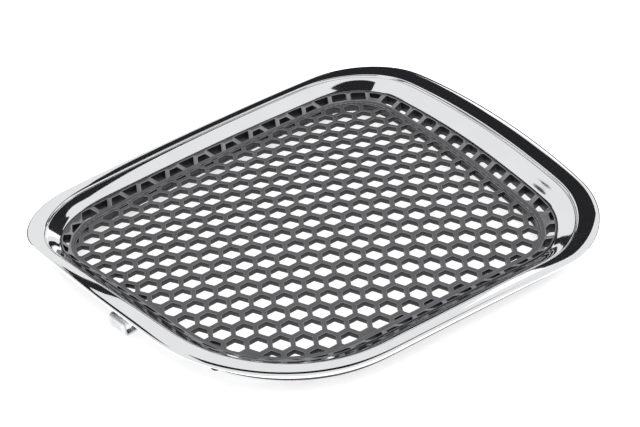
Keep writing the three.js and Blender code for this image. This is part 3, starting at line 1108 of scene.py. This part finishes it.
class GRILLE_OT_brackets(bpy.types.Operator):
    """Builds the four steel body brackets and their spring clips"""

    bl_idname = "grille.brackets"
    bl_label = "Brackets and clips"

    def execute(self, context):
        zinc = zinc_plate(context.scene.grille_colours.zinc)
        rounding = context.scene.grille_sizes.metal_rounding / MM
        for side in BRACKET_SIDES:
            place = bracket_frame(side)
            bracket = bracket_shell(rounding).moved(place)
            make_piece(f"bracket_pressed_{side}", bracket, zinc, f"bracket_{side}")
            clip = clip_shell(rounding).moved(place)
            make_piece(f"clip_spring_{side}", clip, zinc, f"spring_clip_{side}")
        return {"FINISHED"}


# ---------------------------------------------------------------- seals
def seal_shell(node):
    """A foam strip under the outer lip, along the stretch that its CAD node covers."""
    low, high = (np.array(corner) / MM - FACE_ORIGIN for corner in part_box(node))
    middle = outline(SEAL_PLACE)
    inside = np.all((middle > low[:2] + SEAL_MARGIN) & (middle < high[:2] - SEAL_MARGIN), axis=1)
    first = int(np.flatnonzero(inside & ~np.roll(inside, 1))[0])
    steps = [(first + i) % len(middle) for i in range(int(inside.sum()))]
    section = [rim_ring(place, height) for place, height in SEAL_SECTION]
    shell = Shell()
    shell.add_rings([np.array([ring[k] for ring in section]) for k in steps], ends=True)
    return shell


class GRILLE_OT_seals(bpy.types.Operator):
    """Builds the foam strips behind the surround's lip"""

    bl_idname = "grille.seals"
    bl_label = "Foam seals"

    def execute(self, context):
        foam = seal_foam(context.scene.grille_colours.foam)
        for node in SEALS:
            make_piece(f"foam_{node}", seal_shell(node), foam, node)
        return {"FINISHED"}


# ---------------------------------------------------------------- stage
CAMERA_AZIMUTH = -33.49
CAMERA_ELEVATION = 37.16
CAMERA_DISTANCE = 1.0876
CAMERA_AIM = (0.00478, 0.00211, 0.01995)
CAMERA_ROLL = -4.49
CAMERA_LENS = 90.5

# Lamps: where each stands, its size and its share of the key light's power; metres.
LAMPS = {
    "key": ((-0.3, -0.5, 1.5), 1.6, 1.0),
    "fill": ((1.2, 0.6, 1.3), 1.2, 0.4),
}
# Cards that only reflections see: a colour and a strength.
DARK_CARD = ((0.02, 0.02, 0.022), 1)
BRIGHT_CARD = ((1, 1, 1), 1.2)
# Overhead cards. The first pair runs along OVERHEAD_HEADING, which points away from the camera
# and to its right, the second pair across it, both as shares of the card's height.
OVERHEAD_HEADING = (0.819, 0.575)
OVERHEAD_HEIGHT = 1.4
OVERHEAD_CARDS = {"flag_overhead": ((-0.5, 0.3), (-0.9, 0.42)), "flag_left": ((-0.3, 0.33), (0.78, 2.2))}
# Curved standing cards: distance, headings and heights.
WALL_CARD_FACETS = 15
BRIGHT_STRIP = (2.4, (28, 50), (0.7, 1.7))
LOW_FLAG = (2.3, (-30, 120), (0.03, 0.35))
# A dark band over the far edge, and a low dark fence beyond it; x, y and heights in metres.
BAND_HEIGHT = 0.1
BAND_INNER = (
    (-0.21, 0.085), (-0.14, 0.115), (-0.07, 0.145), (0.0, 0.155), (0.06, 0.162), (0.12, 0.17),
    (0.172, 0.178), (0.184, 0.12), (0.18, 0.06), (0.17, 0.0), (0.166, -0.05), (0.172, -0.085),
)
BAND_OUTER = (
    (-0.2, 0.14), (-0.13, 0.178), (-0.06, 0.203), (0.005, 0.212), (0.065, 0.215), (0.15, 0.235),
    (0.24, 0.29), (0.25, 0.19), (0.222, 0.085), (0.216, 0.01), (0.226, -0.05), (0.24, -0.085),
)
FENCE_FOOT = 0.012
FENCE = (
    (0.26, -0.16, 0.035), (0.27, -0.06, 0.035), (0.27, 0.02, 0.04), (0.235, 0.12, 0.06),
    (0.2, 0.23, 0.09), (0.1, 0.27, 0.05), (-0.05, 0.27, 0.04),
)
FLOOR_CARD = ((0.24, 2.2), (-0.1, 2.0))
FLOOR_CARD_LIFT = 0.0008
FLOOR_REACH = 6
FLOOR_DROP = 0.0005
FLOOR_GLOW = 0.6


def square_corners(across, along, height):
    """The corners of a level rectangle between two x and two y."""
    return [(x, y, height) for x, y in zip((*across, *across[::-1]), np.repeat(along, 2).tolist())]


def stage_quad(name, corners, card_finish):
    """A flat card seen only in reflections."""
    colour, strength = card_finish
    mesh = bpy.data.meshes.new(name)
    mesh.from_pydata(corners, [], [(0, 1, 2, 3)])
    material = bpy.data.materials.new(name)
    material.use_nodes = True
    nodes = material.node_tree.nodes
    nodes.clear()
    glow = nodes.new("ShaderNodeEmission")
    glow.inputs["Color"].default_value = (*colour, 1)
    glow.inputs["Strength"].default_value = strength
    out = nodes.new("ShaderNodeOutputMaterial")
    material.node_tree.links.new(glow.outputs["Emission"], out.inputs["Surface"])
    mesh.materials.append(material)
    card = bpy.data.objects.new(name, mesh)
    bpy.context.scene.collection.objects.link(card)
    card.visible_camera = False
    card.visible_diffuse = False
    card.visible_shadow = False
    card.visible_transmission = False


def quad_row(name, first_line, second_line, card_finish):
    """Cards side by side between two lines of points."""
    pairs = list(zip(first_line, second_line))
    for number, ((near, far), (next_near, next_far)) in enumerate(zip(pairs, pairs[1:])):
        stage_quad(f"{name}_{number + 1}", [near, next_near, next_far, far], card_finish)


def overhead_card(name, along, across):
    """A dark card overhead."""
    heading = unit(np.array(OVERHEAD_HEADING))
    aside = np.array([-heading[1], heading[0]])
    corners = []
    for u, v, _ in square_corners(along, across, 0):
        x, y = (heading * u + aside * v) * OVERHEAD_HEIGHT
        corners.append((x, y, OVERHEAD_HEIGHT))
    stage_quad(name, corners, DARK_CARD)


def wall_card(name, distance, headings, heights, card_finish):
    """A curved standing card at a distance, between two headings in degrees from +X and two heights."""
    spread = np.radians(np.linspace(*headings, WALL_CARD_FACETS + 1))
    ends = [(distance * math.cos(angle), distance * math.sin(angle)) for angle in spread]
    low, high = heights
    quad_row(name, [(*end, low) for end in ends], [(*end, high) for end in ends], card_finish)


def make_cards():
    """The studio's cards: dark ones that draw the far rim, and a bright strip beyond them."""
    for name, (along, across) in OVERHEAD_CARDS.items():
        overhead_card(name, along, across)
    inner = [(x, y, BAND_HEIGHT) for x, y in BAND_INNER]
    outer = [(x, y, BAND_HEIGHT) for x, y in BAND_OUTER]
    quad_row("flag_band", inner, outer, DARK_CARD)
    wall_card("strip_far", *BRIGHT_STRIP, BRIGHT_CARD)
    wall_card("flag_low", *LOW_FLAG, DARK_CARD)
    quad_row("flag_fence", [(x, y, FENCE_FOOT) for x, y, _ in FENCE], FENCE, DARK_CARD)
    stage_quad("flag_floor", square_corners(*FLOOR_CARD, CAD_BOX[0][2] + FLOOR_CARD_LIFT), DARK_CARD)


def add_light(name, place, size, power):
    """A square lamp aimed at the grille and left out of reflections."""
    lamp = bpy.data.lights.new(name, "AREA")
    lamp.energy = power
    lamp.shape = "RECTANGLE"
    lamp.size = lamp.size_y = size
    light = bpy.data.objects.new(name, lamp)
    bpy.context.scene.collection.objects.link(light)
    light.location = place
    light.rotation_mode = "QUATERNION"
    light.rotation_quaternion = (-Vector(place)).to_track_quat("-Z", "Y")
    light.visible_glossy = False


def make_floor(colour):
    mesh = bpy.data.meshes.new("floor")
    span = (-FLOOR_REACH, FLOOR_REACH)
    mesh.from_pydata(square_corners(span, span, 0), [], [(0, 1, 2, 3)])
    material, shader = new_material("floor_paper", colour, 0.7, 0.0)
    shader.inputs["Emission Color"].default_value = (1, 1, 1, 1)
    shader.inputs["Emission Strength"].default_value = FLOOR_GLOW
    grain = add_noise(material, 900, 3)
    add_bump(material, shader, grain, 0.00003, 0.15)
    mesh.materials.append(material)
    floor = bpy.data.objects.new("floor", mesh)
    floor.location.z = CAD_BOX[0][2] - FLOOR_DROP
    bpy.context.scene.collection.objects.link(floor)


def make_world(strength):
    world = bpy.data.worlds.new("studio")
    bpy.context.scene.world = world
    world.use_nodes = True
    background = world.node_tree.nodes["Background"]
    background.inputs["Color"].default_value = (1, 1, 1, 1)
    background.inputs["Strength"].default_value = strength


def make_camera():
    azimuth, elevation = math.radians(CAMERA_AZIMUTH), math.radians(CAMERA_ELEVATION)
    flat = math.cos(elevation)
    back = Vector((math.sin(azimuth) * flat, -math.cos(azimuth) * flat, math.sin(elevation)))
    camera = bpy.data.objects.new("camera", bpy.data.cameras.new("camera"))
    bpy.context.scene.collection.objects.link(camera)
    camera.location = Vector(CAMERA_AIM) + back * CAMERA_DISTANCE
    camera.rotation_mode = "QUATERNION"
    roll = Quaternion((0, 0, 1), math.radians(CAMERA_ROLL))
    camera.rotation_quaternion = (-back).to_track_quat("-Z", "Y") @ roll
    camera.data.lens = CAMERA_LENS
    bpy.context.scene.camera = camera


class GRILLE_OT_stage(bpy.types.Operator):
    """Builds the floor, the lights, the studio's cards and the camera"""

    bl_idname = "grille.stage"
    bl_label = "Studio"

    def execute(self, context):
        settings = context.scene.grille_stage
        make_camera()
        make_floor(settings.floor)
        make_world(settings.surroundings)
        for name, (place, size, share) in LAMPS.items():
            add_light(name, place, size, settings.key_power * share)
        make_cards()
        return {"FINISHED"}


class GRILLE_PT_panel(bpy.types.Panel):
    """Lists the grille's pieces in the 3D view's sidebar"""

    bl_idname = "GRILLE_PT_panel"
    bl_label = "Front Grille"
    bl_space_type = "VIEW_3D"
    bl_region_type = "UI"
    bl_category = "Grille"

    def draw(self, context):
        layout = self.layout
        scene = context.scene
        for group in (scene.grille_sizes, scene.grille_colours, scene.grille_stage):
            column = layout.column(align=True)
            for name in group.bl_rna.properties.keys():
                if name not in ("rna_type", "name"):
                    column.prop(group, name)
        column = layout.column(align=True)
        for operator in OPERATORS:
            column.operator(operator.bl_idname)


OPERATORS = (
    GRILLE_OT_surround,
    GRILLE_OT_panel,
    GRILLE_OT_carrier,
    GRILLE_OT_screws,
    GRILLE_OT_brackets,
    GRILLE_OT_seals,
    GRILLE_OT_stage,
)
CLASSES = (GrilleSizes, GrilleColours, GrilleStage, *OPERATORS, GRILLE_PT_panel)


def register():
    for cls in CLASSES:
        bpy.utils.register_class(cls)
    bpy.types.Scene.grille_sizes = PointerProperty(type=GrilleSizes)
    bpy.types.Scene.grille_colours = PointerProperty(type=GrilleColours)
    bpy.types.Scene.grille_stage = PointerProperty(type=GrilleStage)


def unregister():
    del bpy.types.Scene.grille_stage
    del bpy.types.Scene.grille_colours
    del bpy.types.Scene.grille_sizes
    for cls in reversed(CLASSES):
        bpy.utils.unregister_class(cls)


def main():
    register()
    bpy.context.scene.view_settings.view_transform = "Standard"
    bpy.ops.grille.surround()
    bpy.ops.grille.panel()
    bpy.ops.grille.carrier()
    bpy.ops.grille.screws()
    bpy.ops.grille.brackets()
    bpy.ops.grille.seals()
    bpy.ops.grille.stage()


if __name__ == "__main__":
    main()
